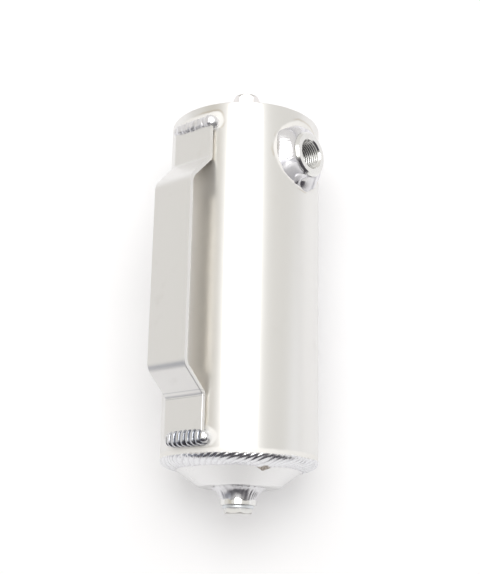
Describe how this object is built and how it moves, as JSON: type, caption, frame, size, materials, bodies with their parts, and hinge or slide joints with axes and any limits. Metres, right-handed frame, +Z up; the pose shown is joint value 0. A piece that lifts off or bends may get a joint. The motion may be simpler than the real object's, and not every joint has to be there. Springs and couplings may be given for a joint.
{
  "type": "coolant overflow tank",
  "caption": "Welded aluminium can for coolant overflow: conical bottom with a hex drain plug, vented plug on top, threaded side inlet and a bent strap bracket.",
  "frame": {"origin": "centre of the strap bracket's flat outer face", "axes": "+Z up along the tank's axis, +X from the bracket's face to the tank's axis, the inlet along -Y"},
  "size_m": [0.1063, 0.0945, 0.2521],
  "materials": {
    "tube_aluminium": "satin, drawn",
    "sheet_aluminium": "satin, pressed",
    "strap_aluminium": "satin, rolled",
    "machined_aluminium": "turned",
    "weld_bead": "bright, rippled",
    "plug_aluminium": "machined",
    "washer_aluminium": "stamped"
  },
  "bodies": {
    "tank": {"tank_tube": "tube_aluminium", "top_cap": "sheet_aluminium", "bottom_cone": "sheet_aluminium", "inlet_bung": "machined_aluminium", "drain_bung": "machined_aluminium", "vent_bung": "machined_aluminium", "mounting_bracket": "strap_aluminium", "bottom_seam_weld": "weld_bead", "top_seam_weld": "weld_bead", "drain_bung_weld": "weld_bead", "vent_bung_weld": "weld_bead", "inlet_bung_weld": "weld_bead", "bracket_upper_weld": "weld_bead", "bracket_lower_weld": "weld_bead"},
    "drain_washer": {"drain_plug_washer": "washer_aluminium"},
    "drain_plug": {"drain_plug": "plug_aluminium"},
    "vent_washer": {"vent_plug_washer": "washer_aluminium"},
    "vent_plug": {"vent_plug": "plug_aluminium"}
  },
  "joints": [
    {"name": "drain_plug_travel", "type": "slide", "parent": "tank", "child": "drain_washer", "axis": [0, 0, -1], "range_m": [0, 0.01111]},
    {"name": "drain_plug_turn", "type": "hinge", "parent": "drain_washer", "child": "drain_plug", "pos_m": [0.0618, 0, 0], "axis": [0, 0, -1], "range_deg": [0, 2520]},
    {"name": "vent_plug_travel", "type": "slide", "parent": "tank", "child": "vent_washer", "axis": [0, 0, 1], "range_m": [0, 0.01111]},
    {"name": "vent_plug_turn", "type": "hinge", "parent": "vent_washer", "child": "vent_plug", "pos_m": [0.0618, 0, 0], "axis": [0, 0, 1], "range_deg": [0, 2520]}
  ],
  "couplings": [
    {"joint": "drain_plug_travel", "follows": "drain_plug_turn", "m_per_rad": 0.00025266},
    {"joint": "vent_plug_travel", "follows": "vent_plug_turn", "m_per_rad": 0.00025266}
  ]
}
